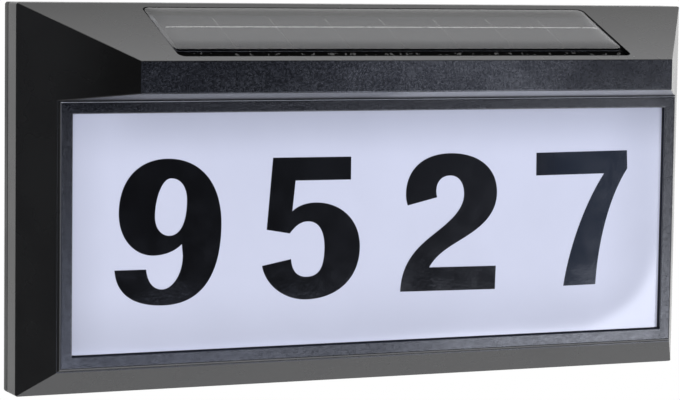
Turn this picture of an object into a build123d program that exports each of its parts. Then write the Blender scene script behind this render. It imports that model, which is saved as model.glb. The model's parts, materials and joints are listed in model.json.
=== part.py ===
from build123d import *
from math import atan, cos, hypot, radians, sin, tan
import os

# Illuminated house number sign: a bevelled wall body under a hood that carries a solar panel,
# with a lit face behind four numerals.
# Frame: +Z up, +X to the right as the sign is read, +Y into the wall. The origin is the
# centre of the back face. A depth is a distance in front of the wall, and a height is a
# distance above the middle of the sign. Millimetres.

# Body
sign_width = 395.0
sign_height = 205.0
sign_depth = 87.0
corner_radius = 1.5
wall = 2.5
cover_depth = 5.5
rim_depth = 19.4
parting_chamfer = 0.5
nose_width = 306.6
nose_height = 16.6
nose_drop = 27.6
edge_round = 0.6

# Face: bezel, panel and light opening
bezel_depth = 44.4
bezel_thickness = 2.0
bezel_border = 6.3
bezel_sill = 6.5
hood_room = 50.1
bezel_inset = 0.15
bezel_foot = 0.5
bezel_outer_round = 0.9
bezel_inner_round = 0.5
hood_gap = 0.3
face_recess = 2.8
panel_plateau = 1.0
panel_flange = 2.0
plateau_gap = 0.2
plateau_corner = 2.5
panel_grip = 2.0
panel_play = 0.3
ledge_thickness = 2.5
seal_width = 1.6

# Numerals, cut from vinyl film
digit_height = 75.0
digit_film = 0.3
digit_rise = 1.1
nine_x = -122.1
five_x = -39.4
two_x = 42.2
seven_x = 124.2
nine_tilt_degrees = 0.0
five_tilt_degrees = -0.2
two_tilt_degrees = -0.6
seven_tilt_degrees = 0.5
middle_share = 0.385

# Bezel pins and tray screws, both in the land around the face
pin_radius = 1.2
pin_length = 4.0
pin_clearance = 0.05
pin_spots = [-165.0, -95.0, -32.0, 32.0, 95.0, 165.0]
side_pin_spots = [-45.0, 45.0]
fixing_line = 4.5
tray_screw_spots = [-130.0, 0.0, 130.0]
tray_screw_radius = 1.1
tray_screw_reach = 4.6
tray_head_radius = 2.4
tray_head_height = 1.6
screw_clearance = 0.05

# Reflector tray and the light strips in it
tray_wall = 1.5
tray_margin = 3.2
tray_back = 14.0
tray_gap = 0.1
strip_length = 324.0
strip_width = 9.0
strip_thickness = 1.2
strip_depth = 22.0
strip_gap = 0.1
chip_count = 12
chip_pitch = 26.0
chip_length = 3.5
chip_width = 2.8
chip_height = 1.1
lead_radius = 1.1
lead_play = 0.4
bend_share = 0.45
light_lead_x = 45.0
jumper_x = 157.0

# Solar panel in the top bevel
recess_width = 262.4
recess_length = 62.7
recess_lip = 5.0
recess_depth = 3.6
recess_corner = 4.0
panel_gap = 0.35
slot_length = 8.2
board_thickness = 1.2
cell_count = 8
cell_width = 31.4
cell_length = 49.0
cell_pitch = 32.0
cell_thickness = 0.3
busbar_width = 1.1
busbar_thickness = 0.15
busbar_length = 254.4
busbar_x = 1.3
busbar_run = 29.9
cover_glaze = 1.9
cover_crown = 0.6
crown_slope = 79.0
film_play = 0.02
sealant_height = 0.9
sealant_round = 0.6
solar_hole_radius = 2.5
solar_hole_x = 66.0
solar_hole_run = 38.0
solar_drop = 16.0

# Back cover, its seal and its screws
tongue_thickness = 1.6
tongue_length = 3.0
tongue_gap = 1.2
seal_height = 2.0
seal_play = 0.05
screw_edge_x = 10.5
screw_edge_z = 10.0
screw_middle = 62.0
boss_radius = 4.0
boss_gap = 0.2
pad_radius = 5.0
screw_radius = 1.45
screw_length = 14.0
head_radius = 3.2
head_height = 2.1
head_sink = 2.5
head_play = 0.3
drive_length = 3.6
drive_width = 0.8
drive_depth = 1.0

# Keyholes for two wall screws
keyhole_spacing = 200.0
keyhole_below_top = 84.5
keyhole_radius = 4.5
keyhole_slot = 2.25
keyhole_drop = 10.0
pocket_width = 14.0
pocket_height = 26.0
pocket_depth = 8.5
pocket_wall = 1.5

# Battery bay
bay_x = -70.0
bay_below_top = 36.5
cell_radius = 9.2
battery_length = 65.2
button_radius = 2.8
button_height = 1.2
battery_play = 0.3
holder_inner_length = 74.0
holder_wall = 1.5
holder_gap = 0.1
holder_flange = 22.0
holder_screw_x = 30.0
holder_screw_z = 19.0
holder_screw_radius = 1.1
holder_screw_reach = 3.4
contact_thickness = 0.5
contact_size = 14.0
spring_wire = 0.4
spring_turns = 3.5
spring_radius = 4.2
bay_opening_length = 72.0
bay_opening_height = 21.0
door_length = 94.0
door_height = 32.0
door_thickness = 2.0
door_gap = 0.3
door_sink = 0.2
door_corner = 3.0
door_seal_thickness = 0.8
door_seal_width = 2.0
door_screw_x = 43.0
door_screw_radius = 1.2
door_screw_reach = 6.0
door_head_radius = 2.3
door_head_height = 1.1
door_boss_radius = 3.2
door_seal_play = 0.1
door_boss_floor = 0.8
bay_pad_margin = 3.0
holder_pad_margin = 1.5
battery_lead_depth = 22.0
battery_lead_x = 31.0

# Control board and its slide switch
board_x = 60.0
board_below_top = 36.5
board_width = 80.0
board_tall = 24.0
board_depth = 12.4
control_thickness = 1.6
post_radius = 3.0
post_x = 36.0
post_z = 8.0
post_screw_radius = 1.2
post_screw_reach = 6.0
post_head_radius = 2.3
post_head_height = 1.5
switch_x = 78.0
switch_length = 19.0
switch_width = 7.0
switch_wall = 0.8
switch_recess_length = 24.0
switch_recess_height = 12.0
switch_recess_depth = 3.5
switch_floor = 2.0
switch_travel = 3.0
knob_length = 4.0
knob_width = 3.0
knob_sink = 0.8
carrier_length = 7.0
carrier_width = 4.4
carrier_height = 1.8
switch_play = 0.3
switch_gap = 0.1
knob_round = 0.4
# Board components: across and up from the board's middle, then length, height and rise, or
# radius and rise for the round ones
component_boxes = [
    (-8.0, 2.0, 8.7, 4.0, 1.5),
    (16.0, -5.0, 4.9, 3.9, 1.4),
    (-31.0, 6.0, 8.0, 5.0, 5.8),
    (25.0, -7.0, 3.2, 1.6, 0.6),
    (29.5, -7.0, 3.2, 1.6, 0.6),
]
component_cans = [
    (-20.0, 5.0, 3.1, 7.5),
    (27.0, 3.0, 4.0, 5.0),
]

# Worked out from the sizes above
half_width = sign_width / 2
half_height = sign_height / 2
bevel_run = sign_depth - rim_depth
bevel_slope = (sign_width - nose_width) / 2 / bevel_run
top_slope = nose_drop / bevel_run
nose_low = half_height - nose_drop - nose_height

land_depth = bezel_depth - bezel_thickness
plateau_depth = bezel_depth - face_recess
flange_depth = plateau_depth - panel_plateau
seat_depth = flange_depth - panel_flange
ledge_depth = seat_depth - ledge_thickness

bezel_half = half_width - bevel_slope * (bezel_depth - rim_depth) - bezel_inset
bezel_low = -half_height + bevel_slope * (bezel_depth - rim_depth) + bezel_foot
bezel_high = half_height - hood_room
opening_low = bezel_low + bezel_sill
opening_high = bezel_high - bezel_border
opening_half = bezel_half - bezel_border
opening_tall = (opening_high - opening_low) / 2
face_height = (opening_low + opening_high) / 2
panel_half = opening_half + panel_grip
panel_tall = opening_tall + panel_grip
fixing_half = opening_half + fixing_line
fixing_tall = opening_tall + fixing_line
tray_flange_half = fixing_half + tray_margin
tray_flange_tall = fixing_tall + tray_margin
underside_slope = (nose_low - bezel_high - hood_gap) / (sign_depth - land_depth)

recess_middle = recess_lip + recess_length / 2
glaze_length = recess_length - slot_length - panel_gap
glaze_width = recess_width - 2 * panel_gap
glaze_middle = recess_lip + panel_gap + glaze_length / 2

keyhole_height = half_height - keyhole_below_top
bay_height = half_height - bay_below_top
board_height = half_height - board_below_top


def front_plane(depth, height=0.0, across=0.0):
    """Plane parallel to the wall, facing forward: X across, Y up, extruding away from the wall."""
    return Plane(origin=(across, -depth, height), x_dir=(1, 0, 0), z_dir=(0, -1, 0))


def side_plane(across, depth, height):
    """Plane across the sign, facing +X, for round parts that lie along the sign."""
    return Plane(origin=(across, -depth, height), x_dir=(0, 1, 0), z_dir=(1, 0, 0))


def body_section(depth, inset=0.0):
    """Half-width, bottom and top of the bevelled body at a depth, inset by a wall."""
    side = bevel_slope * (depth - rim_depth) + inset * hypot(1, bevel_slope)
    top = top_slope * (depth - rim_depth) + inset * hypot(1, top_slope)
    return half_width - side, side - half_height, half_height - top


def underside(depth):
    """Height of the hood's underside at a depth."""
    return bezel_high + hood_gap + underside_slope * (depth - land_depth)


def bevel_loft(near, far, inset):
    """The bevelled body between two depths, inset by a wall."""
    with BuildPart() as form:
        for depth in (near, far):
            half, low, high = body_section(depth, inset)
            with BuildSketch(front_plane(depth, (low + high) / 2)):
                Rectangle(2 * half, high - low)
        loft(ruled=True)
    return form.part


def below_hood(near, lift):
    """Everything forward of a depth and lower than the hood's underside raised by a lift."""
    far = 2 * sign_depth
    with BuildPart() as form:
        with BuildSketch(Plane.YZ):
            with BuildLine():
                Polyline(
                    (-near, -sign_height),
                    (-near, underside(near) + lift),
                    (-far, underside(far) + lift),
                    (-far, -sign_height),
                    close=True,
                )
            make_face()
        extrude(amount=sign_width, both=True)
    return form.part


# The top bevel: local X across, local Y up the slope, measured from the rim's front edge.
top_plane = Plane(
    origin=(0, -rim_depth, half_height),
    x_dir=(1, 0, 0),
    z_dir=(0, -sin(atan(top_slope)), cos(atan(top_slope))),
)

cover_screw_spots = [
    (x, z)
    for x in (
        screw_edge_x - half_width,
        -screw_middle,
        screw_middle,
        half_width - screw_edge_x,
    )
    for z in (screw_edge_z - half_height, half_height - screw_edge_z)
]
land_screw_spots = [(x, z) for x in tray_screw_spots for z in (-fixing_tall, fixing_tall)]
land_screw_spots += [(-fixing_half, 0), (fixing_half, 0)]
land_pin_spots = [(x, z) for x in pin_spots for z in (-fixing_tall, fixing_tall)]
land_pin_spots += [(x, z) for x in (-fixing_half, fixing_half) for z in side_pin_spots]

os.makedirs("parts", exist_ok=True)


def finish(builder, name):
    """Label a finished piece and write it."""
    builder.part.label = name
    export_step(builder.part, "parts/" + name + ".step")

# ---------------------------------------------------------------- front housing
with BuildPart() as body_form:
    add(bevel_loft(0, sign_depth, 0))
    with BuildSketch(front_plane(cover_depth)):
        RectangleRounded(sign_width, sign_height, corner_radius)
    extrude(amount=sign_depth, mode=Mode.INTERSECT)

with BuildPart() as cavity_form:
    add(bevel_loft(0, sign_depth - wall, wall))
    with BuildSketch(front_plane(0)):
        RectangleRounded(sign_width - 2 * wall, sign_height - 2 * wall, corner_radius)
    extrude(amount=sign_depth, mode=Mode.INTERSECT)
    add(below_hood(ledge_depth, wall), mode=Mode.SUBTRACT)

with BuildPart() as screw_bosses:
    with BuildSketch(front_plane(cover_depth + boss_gap)):
        with Locations(cover_screw_spots):
            Circle(boss_radius)
    extrude(amount=land_depth - cover_depth)
    add(body_form.part, mode=Mode.INTERSECT)

with BuildPart() as front_housing:
    add(body_form.part)
    add(below_hood(land_depth, 0), mode=Mode.SUBTRACT)
    nose_edges = front_housing.edges().filter_by_position(
        Axis.Y, -sign_depth - edge_round, -land_depth - edge_round
    )
    fillet(nose_edges, edge_round)
    rear_edges = front_housing.faces().sort_by(Axis.Y)[-1].edges()
    chamfer(rear_edges, parting_chamfer)
    add(cavity_form.part, mode=Mode.SUBTRACT)
    add(screw_bosses.part)
    # Slab under the solar recess, the recess, and the hole for the solar lead
    with BuildSketch(top_plane):
        with Locations((0, -recess_middle)):
            Rectangle(recess_width + 2 * wall, recess_length + 2 * wall)
    extrude(amount=-recess_depth - wall)
    with BuildSketch(top_plane):
        with Locations((0, -recess_middle)):
            RectangleRounded(recess_width, recess_length, recess_corner)
    extrude(amount=-recess_depth, mode=Mode.SUBTRACT)
    with BuildSketch(top_plane):
        with Locations((solar_hole_x, -solar_hole_run)):
            Circle(solar_hole_radius)
    extrude(amount=-2 * recess_depth - 2 * wall, mode=Mode.SUBTRACT)
    # Face: light opening, then the rebate that the panel sits in
    with BuildSketch(front_plane(0, face_height)):
        Rectangle(2 * (opening_half - panel_grip), 2 * (opening_tall - panel_grip))
    extrude(amount=bezel_depth, mode=Mode.SUBTRACT)
    with BuildSketch(front_plane(seat_depth, face_height)):
        Rectangle(2 * (panel_half + panel_play), 2 * (panel_tall + panel_play))
    extrude(amount=bezel_depth - seat_depth, mode=Mode.SUBTRACT)
    # Pin holes from the front, screw holes from the back
    with BuildSketch(front_plane(land_depth, face_height)):
        with Locations(land_pin_spots):
            Circle(pin_radius + pin_clearance)
    extrude(amount=-pin_length - pin_clearance, mode=Mode.SUBTRACT)
    with BuildSketch(front_plane(ledge_depth, face_height)):
        with Locations(land_screw_spots):
            Circle(tray_screw_radius + screw_clearance)
    extrude(amount=tray_screw_reach + screw_clearance, mode=Mode.SUBTRACT)
    with BuildSketch(front_plane(cover_depth)):
        with Locations(cover_screw_spots):
            Circle(screw_radius + screw_clearance)
    extrude(amount=head_sink + screw_length + screw_clearance - cover_depth, mode=Mode.SUBTRACT)
finish(front_housing, "front_housing")

# ---------------------------------------------------------------- bezel, panel and seal
with BuildPart() as bezel_frame:
    for depth in (land_depth, bezel_depth):
        spread = bevel_slope * (bezel_depth - depth)
        low = bezel_low - spread
        with BuildSketch(front_plane(depth, (low + bezel_high) / 2)):
            Rectangle(2 * (bezel_half + spread), bezel_high - low)
    loft(ruled=True)
    front_edges = bezel_frame.faces().sort_by(Axis.Y)[0].edges()
    fillet(front_edges, bezel_outer_round)
    with BuildSketch(front_plane(0, face_height)):
        Rectangle(2 * opening_half, 2 * opening_tall)
    extrude(amount=sign_depth, mode=Mode.SUBTRACT)
    fillet(bezel_frame.faces().sort_by(Axis.Y)[0].inner_wires()[0].edges(), bezel_inner_round)
    with BuildSketch(front_plane(land_depth, face_height)):
        with Locations(land_pin_spots):
            Circle(pin_radius)
    extrude(amount=-pin_length)
finish(bezel_frame, "bezel_frame")

with BuildPart() as face_panel:
    with BuildSketch(front_plane(seat_depth, face_height)):
        Rectangle(2 * panel_half, 2 * panel_tall)
    extrude(amount=panel_flange)
    with BuildSketch(front_plane(flange_depth, face_height)):
        RectangleRounded(
            2 * (opening_half - plateau_gap), 2 * (opening_tall - plateau_gap), plateau_corner
        )
    extrude(amount=panel_plateau)
finish(face_panel, "face_panel")

with BuildPart() as face_seal:
    with BuildSketch(front_plane(flange_depth, face_height)):
        Rectangle(2 * panel_half, 2 * panel_tall)
        Rectangle(2 * (panel_half - seal_width), 2 * (panel_tall - seal_width), mode=Mode.SUBTRACT)
    extrude(amount=land_depth - flange_depth)
finish(face_seal, "face_seal")


# ---------------------------------------------------------------- numerals
# Each outline is a run of points in shares of the numeral's height. Two points in a row are a
# straight side; a group of three is a curve's two handles and its end.
nine_shares = [
    (0.000, 0.233),
    (0.231, 0.232),
    ((0.239, 0.150), (0.280, 0.089), (0.353, 0.089)),
    ((0.428, 0.089), (0.503, 0.190), (0.503, 0.320)),
    (0.495, 0.404),
    ((0.440, 0.348), (0.354, 0.328), (0.289, 0.328)),
    ((0.145, 0.328), (0.029, 0.450), (0.029, 0.627)),
    ((0.029, 0.865), (0.175, 1.001), (0.383, 1.001)),
    ((0.625, 1.001), (0.789, 0.830), (0.789, 0.533)),
    ((0.789, 0.170), (0.640, -0.023), (0.363, -0.023)),
    ((0.160, -0.023), (0.013, 0.050), (0.000, 0.233)),
]
nine_counter_shares = [
    (0.409, 0.864),
    ((0.345, 0.864), (0.293, 0.730), (0.293, 0.600)),
    ((0.293, 0.520), (0.340, 0.463), (0.403, 0.463)),
    ((0.480, 0.463), (0.531, 0.545), (0.531, 0.707)),
    ((0.531, 0.800), (0.485, 0.864), (0.409, 0.864)),
]
five_shares = [
    (0.073, 0.993),
    (0.676, 0.993),
    (0.677, 0.829),
    (0.247, 0.829),
    (0.225, 0.609),
    ((0.270, 0.650), (0.335, 0.669), (0.405, 0.669)),
    ((0.600, 0.669), (0.756, 0.540), (0.756, 0.340)),
    ((0.756, 0.110), (0.580, -0.023), (0.345, -0.023)),
    ((0.180, -0.023), (0.030, 0.080), (0.000, 0.227)),
    (0.221, 0.269),
    ((0.228, 0.180), (0.275, 0.139), (0.345, 0.139)),
    ((0.440, 0.139), (0.480, 0.200), (0.480, 0.340)),
    ((0.480, 0.470), (0.430, 0.536), (0.345, 0.536)),
    ((0.290, 0.536), (0.250, 0.505), (0.208, 0.453)),
    (0.032, 0.483),
    (0.073, 0.993),
]
two_shares = [
    (0.000, 0.000),
    (0.768, 0.000),
    (0.771, 0.172),
    (0.227, 0.172),
    ((0.280, 0.265), (0.375, 0.315), (0.496, 0.380)),
    ((0.625, 0.452), (0.764, 0.540), (0.764, 0.707)),
    ((0.764, 0.890), (0.610, 1.003), (0.383, 1.003)),
    ((0.160, 1.003), (0.027, 0.890), (0.027, 0.713)),
    ((0.027, 0.680), (0.033, 0.655), (0.043, 0.627)),
    (0.276, 0.683),
    ((0.250, 0.775), (0.295, 0.841), (0.376, 0.841)),
    ((0.455, 0.841), (0.496, 0.780), (0.496, 0.700)),
    ((0.496, 0.580), (0.370, 0.493), (0.229, 0.393)),
    ((0.120, 0.312), (0.002, 0.205), (0.000, 0.000)),
]
seven_shares = [
    (0.000, 0.998),
    (0.764, 0.998),
    (0.769, 0.861),
    ((0.635, 0.680), (0.530, 0.360), (0.509, 0.000)),
    (0.239, 0.000),
    ((0.285, 0.290), (0.415, 0.615), (0.573, 0.830)),
    (0.000, 0.830),
    (0.000, 0.998),
]
numerals = {
    "9": (nine_x, nine_tilt_degrees, [nine_shares, nine_counter_shares]),
    "5": (five_x, five_tilt_degrees, [five_shares]),
    "2": (two_x, two_tilt_degrees, [two_shares]),
    "7": (seven_x, seven_tilt_degrees, [seven_shares]),
}


def draw_outline(outline):
    """Lines and curves along a numeral's outline at its real size, about its middle."""

    def real(point):
        return ((point[0] - middle_share) * digit_height, (point[1] - 0.5) * digit_height)

    here = real(outline[0])
    for step in outline[1:]:
        if isinstance(step[0], tuple):
            first, second, end = (real(point) for point in step)
            Bezier(here, first, second, end)
        else:
            end = real(step)
            Line(here, end)
        here = end


for numeral, (across, degrees, outlines) in numerals.items():
    tilt = radians(degrees)
    flat = Plane(
        origin=(across, -plateau_depth, face_height + digit_rise),
        x_dir=(cos(tilt), 0, sin(tilt)),
        z_dir=(0, -1, 0),
    )
    with BuildPart() as digit:
        with BuildSketch(flat):
            with BuildLine():
                draw_outline(outlines[0])
            make_face()
            for counter in outlines[1:]:
                with BuildLine():
                    draw_outline(counter)
                make_face(mode=Mode.SUBTRACT)
        extrude(amount=digit_film)
    finish(digit, "digit_" + numeral)

# ---------------------------------------------------------------- reflector tray and lights
tray_half = opening_half - panel_grip
tray_tall = opening_tall - panel_grip
tray_front = ledge_depth - tray_gap
strip_face = tray_tall - strip_gap - strip_thickness

with BuildPart() as reflector_tray:
    with BuildSketch(front_plane(tray_front - tray_wall, face_height)):
        Rectangle(2 * tray_flange_half, 2 * tray_flange_tall)
    extrude(amount=tray_wall)
    with BuildSketch(front_plane(tray_back - tray_wall, face_height)):
        Rectangle(2 * (tray_half + tray_wall), 2 * (tray_tall + tray_wall))
    extrude(amount=tray_front - tray_back)
    with BuildSketch(front_plane(tray_back, face_height)):
        Rectangle(2 * tray_half, 2 * tray_tall)
    extrude(amount=tray_front - tray_back + tray_wall, mode=Mode.SUBTRACT)
    with BuildSketch(front_plane(tray_back, face_height)):
        with Locations(land_screw_spots):
            Circle(tray_screw_radius + screw_clearance)
    extrude(amount=tray_front, mode=Mode.SUBTRACT)
    # Hole for the lead to the upper strip
    with BuildSketch(Plane.XY.offset(face_height + tray_tall - tray_wall)):
        with Locations((light_lead_x, -strip_depth)):
            Circle(lead_radius + lead_play)
    extrude(amount=3 * tray_wall, mode=Mode.SUBTRACT)
finish(reflector_tray, "reflector_tray")

with BuildPart() as tray_screws:
    with BuildSketch(front_plane(tray_front - tray_wall, face_height)):
        with Locations(land_screw_spots):
            Circle(tray_screw_radius)
    extrude(amount=tray_wall + tray_gap + tray_screw_reach)
    with BuildSketch(front_plane(tray_front - tray_wall - tray_head_height, face_height)):
        with Locations(land_screw_spots):
            Circle(tray_head_radius)
    extrude(amount=tray_head_height)
finish(tray_screws, "tray_screws")

for side, name in ((1, "led_strip_upper"), (-1, "led_strip_lower")):
    with BuildPart() as strip:
        with BuildSketch(front_plane(strip_depth - strip_width / 2, face_height)):
            with Locations((0, side * (strip_face + strip_thickness / 2))):
                Rectangle(strip_length, strip_thickness)
        extrude(amount=strip_width)
    finish(strip, name)

chip_spots = [
    (chip_pitch * (place - (chip_count - 1) / 2), side * (strip_face - chip_height / 2))
    for place in range(chip_count)
    for side in (-1, 1)
]
with BuildPart() as led_chips:
    with BuildSketch(front_plane(strip_depth - chip_width / 2, face_height)):
        with Locations(chip_spots):
            Rectangle(chip_length, chip_height)
    extrude(amount=chip_width)
finish(led_chips, "led_chips")

# ---------------------------------------------------------------- solar panel
with BuildPart() as solar_board:
    with BuildSketch(top_plane.offset(-recess_depth)):
        with Locations((0, -glaze_middle)):
            RectangleRounded(glaze_width, glaze_length, recess_corner - panel_gap)
    extrude(amount=board_thickness)
finish(solar_board, "solar_board")

cells_base = board_thickness - recess_depth
with BuildPart() as solar_cells:
    with BuildSketch(top_plane.offset(cells_base)):
        with Locations((0, -glaze_middle)):
            with GridLocations(cell_pitch, cell_length, cell_count, 1):
                Rectangle(cell_width, cell_length)
    extrude(amount=cell_thickness)
finish(solar_cells, "solar_cells")

with BuildPart() as solar_busbar:
    with BuildSketch(top_plane.offset(cells_base + cell_thickness)):
        with Locations((busbar_x, -busbar_run)):
            Rectangle(busbar_length, busbar_width)
    extrude(amount=busbar_thickness)
finish(solar_busbar, "solar_busbar")

with BuildPart() as solar_cover:
    with BuildSketch(top_plane.offset(cells_base)):
        with Locations((0, -glaze_middle)):
            RectangleRounded(glaze_width, glaze_length, recess_corner - panel_gap)
    extrude(amount=cover_glaze)
    cover_top = solar_cover.faces().sort_by(Axis((0, 0, 0), top_plane.z_dir))[-1]
    extrude(cover_top, amount=cover_crown, taper=crown_slope)
    with BuildSketch(top_plane.offset(cells_base)):
        with Locations((0, -glaze_middle)):
            Rectangle(
                cell_pitch * (cell_count - 1) + cell_width + 2 * film_play,
                cell_length + 2 * film_play,
            )
    extrude(amount=cell_thickness + film_play, mode=Mode.SUBTRACT)
    with BuildSketch(top_plane.offset(cells_base)):
        with Locations((busbar_x, -busbar_run)):
            Rectangle(busbar_length + 2 * film_play, busbar_width + 2 * film_play)
    extrude(amount=cell_thickness + busbar_thickness + film_play, mode=Mode.SUBTRACT)
finish(solar_cover, "solar_cover")

with BuildPart() as panel_sealant:
    with BuildSketch(top_plane.offset(-recess_depth)):
        with Locations((0, -recess_middle)):
            RectangleRounded(recess_width - 2 * film_play, recess_length - 2 * film_play, recess_corner)
        with Locations((0, slot_length - recess_middle)):
            Rectangle(recess_width + 2 * wall, recess_length, mode=Mode.SUBTRACT)
    extrude(amount=sealant_height)
    fillet(panel_sealant.faces().sort_by(Axis.Z)[-1].edges().sort_by(Axis.Z)[-1], sealant_round)
finish(panel_sealant, "panel_sealant")

# ---------------------------------------------------------------- back cover
tongue_outer_x = half_width - wall - tongue_gap
tongue_outer_z = half_height - wall - tongue_gap
pad_half = door_length / 2 + bay_pad_margin
pad_tall = holder_flange + holder_pad_margin
door_screw_spots = [(-door_screw_x, 0), (door_screw_x, 0)]
holder_screw_spots = [
    (x, z) for x in (-holder_screw_x, holder_screw_x) for z in (-holder_screw_z, holder_screw_z)
]
keyhole_spots = [(-keyhole_spacing / 2, keyhole_height), (keyhole_spacing / 2, keyhole_height)]
pocket_middle = keyhole_height + keyhole_drop / 2
pocket_spots = [(x, pocket_middle) for x, z in keyhole_spots]
post_spots = [(-post_x, -post_z), (post_x, post_z)]
seal_line = door_thickness + door_sink
rebate_depth = seal_line + door_seal_thickness

with BuildPart() as back_cover:
    with BuildSketch(front_plane(0)):
        RectangleRounded(sign_width, sign_height, corner_radius)
    extrude(amount=cover_depth)
    chamfer(back_cover.faces().sort_by(Axis.Y)[0].edges(), parting_chamfer)
    # Hollow inside the perimeter, and the tongue that stands up from it
    with BuildSketch(front_plane(wall)):
        Rectangle(2 * (tongue_outer_x - tongue_thickness), 2 * (tongue_outer_z - tongue_thickness))
    extrude(amount=cover_depth, mode=Mode.SUBTRACT)
    with BuildSketch(front_plane(cover_depth)):
        Rectangle(2 * tongue_outer_x, 2 * tongue_outer_z)
        Rectangle(
            2 * (tongue_outer_x - tongue_thickness),
            2 * (tongue_outer_z - tongue_thickness),
            mode=Mode.SUBTRACT,
        )
    extrude(amount=tongue_length)
    # Pads for the cover screws, the keyhole pockets, the battery bay and the board's posts
    with BuildSketch(front_plane(0)):
        with Locations(cover_screw_spots):
            Circle(pad_radius)
        with Locations((bay_x, bay_height)):
            Rectangle(2 * pad_half, 2 * pad_tall)
        with Locations((switch_x, board_height)):
            Rectangle(
                switch_recess_length + 2 * switch_floor,
                switch_recess_height + 2 * switch_floor,
            )
    extrude(amount=cover_depth)
    with BuildSketch(front_plane(0)):
        with Locations(pocket_spots):
            Rectangle(pocket_width + 2 * pocket_wall, pocket_height + 2 * pocket_wall)
    extrude(amount=pocket_depth + pocket_wall)
    with BuildSketch(front_plane(0, board_height, board_x)):
        with Locations(post_spots):
            Circle(post_radius)
    extrude(amount=board_depth)
    with BuildSketch(front_plane(0, bay_height, bay_x)):
        with Locations(door_screw_spots):
            Circle(door_boss_radius)
    extrude(amount=rebate_depth + door_screw_reach + door_boss_floor)
    # Screw holes
    with BuildSketch(front_plane(0)):
        with Locations(cover_screw_spots):
            Circle(screw_radius + screw_clearance)
    extrude(amount=cover_depth, mode=Mode.SUBTRACT)
    with BuildSketch(front_plane(0)):
        with Locations(cover_screw_spots):
            Circle(head_radius + head_play)
    extrude(amount=head_sink, mode=Mode.SUBTRACT)
    with BuildSketch(front_plane(board_depth, board_height, board_x)):
        with Locations(post_spots):
            Circle(post_screw_radius + screw_clearance)
    extrude(amount=-post_screw_reach - screw_clearance, mode=Mode.SUBTRACT)
    with BuildSketch(front_plane(cover_depth, bay_height, bay_x)):
        with Locations(holder_screw_spots):
            Circle(holder_screw_radius + screw_clearance)
    extrude(amount=-holder_screw_reach - screw_clearance, mode=Mode.SUBTRACT)
    # Battery opening with the door's rebate
    with BuildSketch(front_plane(0, bay_height, bay_x)):
        Rectangle(bay_opening_length, bay_opening_height)
    extrude(amount=cover_depth, mode=Mode.SUBTRACT)
    with BuildSketch(front_plane(0, bay_height, bay_x)):
        RectangleRounded(door_length, door_height, door_corner)
    extrude(amount=rebate_depth, mode=Mode.SUBTRACT)
    with BuildSketch(front_plane(rebate_depth, bay_height, bay_x)):
        with Locations(door_screw_spots):
            Circle(door_screw_radius + screw_clearance)
    extrude(amount=door_screw_reach + screw_clearance, mode=Mode.SUBTRACT)
    # Keyhole entries, slots and the pockets behind them
    with BuildSketch(front_plane(0)):
        with Locations(keyhole_spots):
            Circle(keyhole_radius)
        with Locations([(x, z + keyhole_drop / 2) for x, z in keyhole_spots]):
            SlotCenterToCenter(keyhole_drop, 2 * keyhole_slot, rotation=90)
    extrude(amount=pocket_depth, mode=Mode.SUBTRACT)
    with BuildSketch(front_plane(wall)):
        with Locations(pocket_spots):
            Rectangle(pocket_width, pocket_height)
    extrude(amount=pocket_depth - wall, mode=Mode.SUBTRACT)
    # Switch recess and the slot for its knob
    with BuildSketch(front_plane(0, board_height, switch_x)):
        RectangleRounded(switch_recess_length, switch_recess_height, door_corner)
    extrude(amount=switch_recess_depth, mode=Mode.SUBTRACT)
    with BuildSketch(front_plane(0, board_height, switch_x)):
        Rectangle(knob_length + switch_travel + 2 * switch_play, knob_width + 2 * switch_play)
    extrude(amount=cover_depth, mode=Mode.SUBTRACT)
finish(back_cover, "back_cover")

with BuildPart() as cover_seal:
    with BuildSketch(front_plane(cover_depth)):
        RectangleRounded(
            2 * (half_width - wall - seal_play),
            2 * (half_height - wall - seal_play),
            corner_radius,
        )
        Rectangle(
            2 * (tongue_outer_x + seal_play),
            2 * (tongue_outer_z + seal_play),
            mode=Mode.SUBTRACT,
        )
    extrude(amount=seal_height)
finish(cover_seal, "cover_seal")

with BuildPart() as cover_screws:
    with BuildSketch(front_plane(head_sink - head_height)):
        with Locations(cover_screw_spots):
            Circle(head_radius)
            Rectangle(drive_length, drive_width, mode=Mode.SUBTRACT)
            Rectangle(drive_width, drive_length, mode=Mode.SUBTRACT)
    extrude(amount=drive_depth)
    with BuildSketch(front_plane(head_sink - head_height + drive_depth)):
        with Locations(cover_screw_spots):
            Circle(head_radius)
    extrude(amount=head_height - drive_depth)
    with BuildSketch(front_plane(head_sink)):
        with Locations(cover_screw_spots):
            Circle(screw_radius)
    extrude(amount=screw_length)
finish(cover_screws, "cover_screws")

# ---------------------------------------------------------------- battery bay
holder_depth = cover_depth + holder_gap
holder_inner_tall = 2 * (cell_radius + battery_play)
cell_depth = holder_depth + holder_wall + battery_play + cell_radius
holder_floor = cell_depth + cell_radius + battery_play

with BuildPart() as battery_holder:
    with BuildSketch(front_plane(holder_depth, bay_height, bay_x)):
        Rectangle(holder_inner_length + 2 * holder_wall, 2 * holder_flange)
    extrude(amount=holder_wall)
    with BuildSketch(front_plane(holder_depth, bay_height, bay_x)):
        Rectangle(holder_inner_length + 2 * holder_wall, holder_inner_tall + 2 * holder_wall)
    extrude(amount=holder_floor + holder_wall - holder_depth)
    with BuildSketch(front_plane(holder_depth, bay_height, bay_x)):
        Rectangle(holder_inner_length, holder_inner_tall)
    extrude(amount=holder_floor - holder_depth, mode=Mode.SUBTRACT)
    with BuildSketch(front_plane(holder_depth, bay_height, bay_x)):
        with Locations(holder_screw_spots):
            Circle(holder_screw_radius + screw_clearance)
    extrude(amount=holder_wall, mode=Mode.SUBTRACT)
finish(battery_holder, "battery_holder")

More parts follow.
